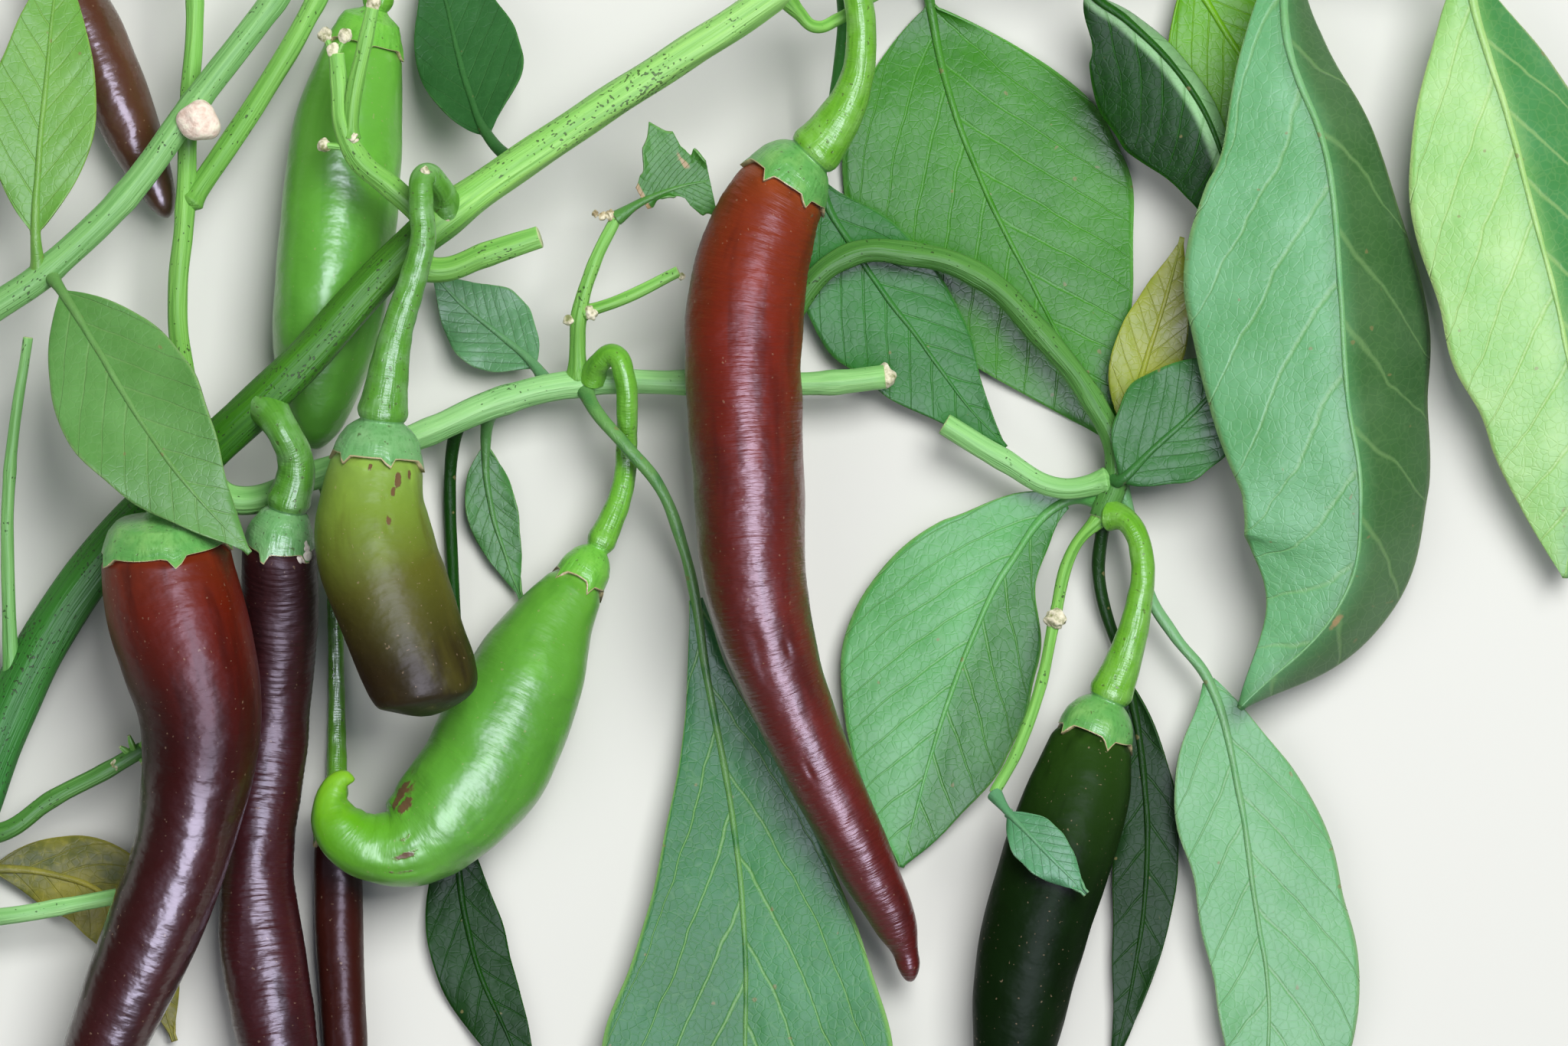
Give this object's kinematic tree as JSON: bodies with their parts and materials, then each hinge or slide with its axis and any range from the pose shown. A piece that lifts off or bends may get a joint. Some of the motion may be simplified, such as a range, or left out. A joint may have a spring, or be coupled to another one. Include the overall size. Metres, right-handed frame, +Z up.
{
  "type": "cut fruiting chilli pepper branch",
  "caption": "Cut chilli pepper branch laid flat: a green stem forks into side stems that carry glossy red, olive and green chillies on curved stalks, with pointed leaves.",
  "frame": {"origin": "the centre of the branch in plan, on the level surface that it lies on", "axes": "+X runs along the branch from the cut end of the main stem to its leafy end, +Y runs across it towards the stem tips, and +Z points up out of the surface that it lies on"},
  "size_m": [0.248, 0.2018, 0.0326],
  "materials": {
    "stem": "satin green bark with faint ridges and dark specks",
    "stalk": "satin green, finely wrinkled",
    "red": "waxy gloss, orange red to dark maroon",
    "wine": "waxy gloss, wrinkled maroon",
    "olive": "waxy gloss, yellow green to brown olive",
    "green": "waxy gloss, vivid green",
    "brown": "waxy gloss, brown red",
    "leaf": "satin mid green with pale veins",
    "leaf_pale": "satin light green with pale veins",
    "leaf_dark": "satin dark green",
    "leaf_yellow": "satin yellow, wilting"
  },
  "bodies": {
    "root": {"stem_main": "stem", "stem_right": "stem", "stem_second": "stem", "stem_far": "stem", "stub_far": "stem", "stub_joint": "stem", "twig_joint": "stem", "twig_joint_side": "stem", "twig_upper": "stem", "twig_upper_side": "stem", "twig_low_a": "stem", "twig_low_b": "stem", "bough_left": "stem", "shoot_left": "stem", "shoot_left_side": "stem", "twig_left_thin": "stem", "stalk_curled": "stem", "twig_shoot": "stem", "stalk_long_red": "stalk", "chilli_long_red": "red", "stalk_wide_red": "stalk", "chilli_wide_red": "red", "stalk_wrinkled_red": "stalk", "chilli_wrinkled_red": "wine", "stalk_olive": "stalk", "chilli_olive": "olive", "stalk_curled_green": "stalk", "chilli_curled_green": "green", "stalk_back_green": "stalk", "chilli_back_green": "green", "stalk_back_brown": "stalk", "chilli_back_brown": "brown", "stalk_low_red": "stalk", "chilli_low_red": "wine", "stalk_dark_green": "stalk", "chilli_dark_green": "green", "leaf_centre": "leaf", "leaf_right": "leaf", "leaf_far_right": "leaf_pale", "leaf_lower_right": "leaf_pale", "leaf_middle": "leaf_pale", "leaf_twisted": "leaf_dark", "leaf_back_large": "leaf", "leaf_back_upper": "leaf_pale", "leaf_node": "leaf", "leaf_small": "leaf", "leaf_chewed": "leaf", "leaf_front": "leaf", "leaf_yellow_low": "leaf_yellow", "leaf_top_left": "leaf_pale", "leaf_dark": "leaf_dark", "leaf_yellow_right": "leaf_yellow", "leaf_back_dark": "leaf_dark", "leaf_back_mid": "leaf", "leaf_back_narrow": "leaf", "leaf_back_low": "leaf", "leaf_dark_low": "leaf_dark"}
  },
  "joints": []
}
